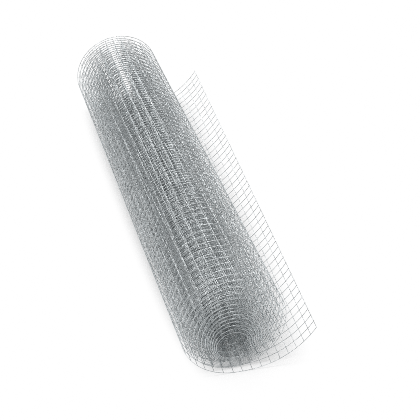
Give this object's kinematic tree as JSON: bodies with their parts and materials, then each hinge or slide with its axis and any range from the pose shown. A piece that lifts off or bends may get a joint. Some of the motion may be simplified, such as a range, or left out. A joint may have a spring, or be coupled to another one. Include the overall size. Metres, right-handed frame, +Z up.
{
  "type": "roll of welded wire mesh",
  "caption": "Roll of galvanised square welded wire mesh for plaster, lying on its side with an open bore and a curled loose end.",
  "frame": {"origin": "middle of the footprint of the roll and its loose end, on the floor", "axes": "+Y along the roll, away from the end where the outermost turn stands proud; +Z up; the loose end reaches out toward +X"},
  "size_m": [0.2924, 1.0282, 0.212],
  "materials": {
    "galvanised_wire": "dull zinc-coated wire with a soft metallic sheen"
  },
  "bodies": {
    "root": {"wound_mesh": "galvanised_wire", "loose_end_inner": "galvanised_wire", "loose_end_outer": "galvanised_wire"}
  },
  "joints": []
}
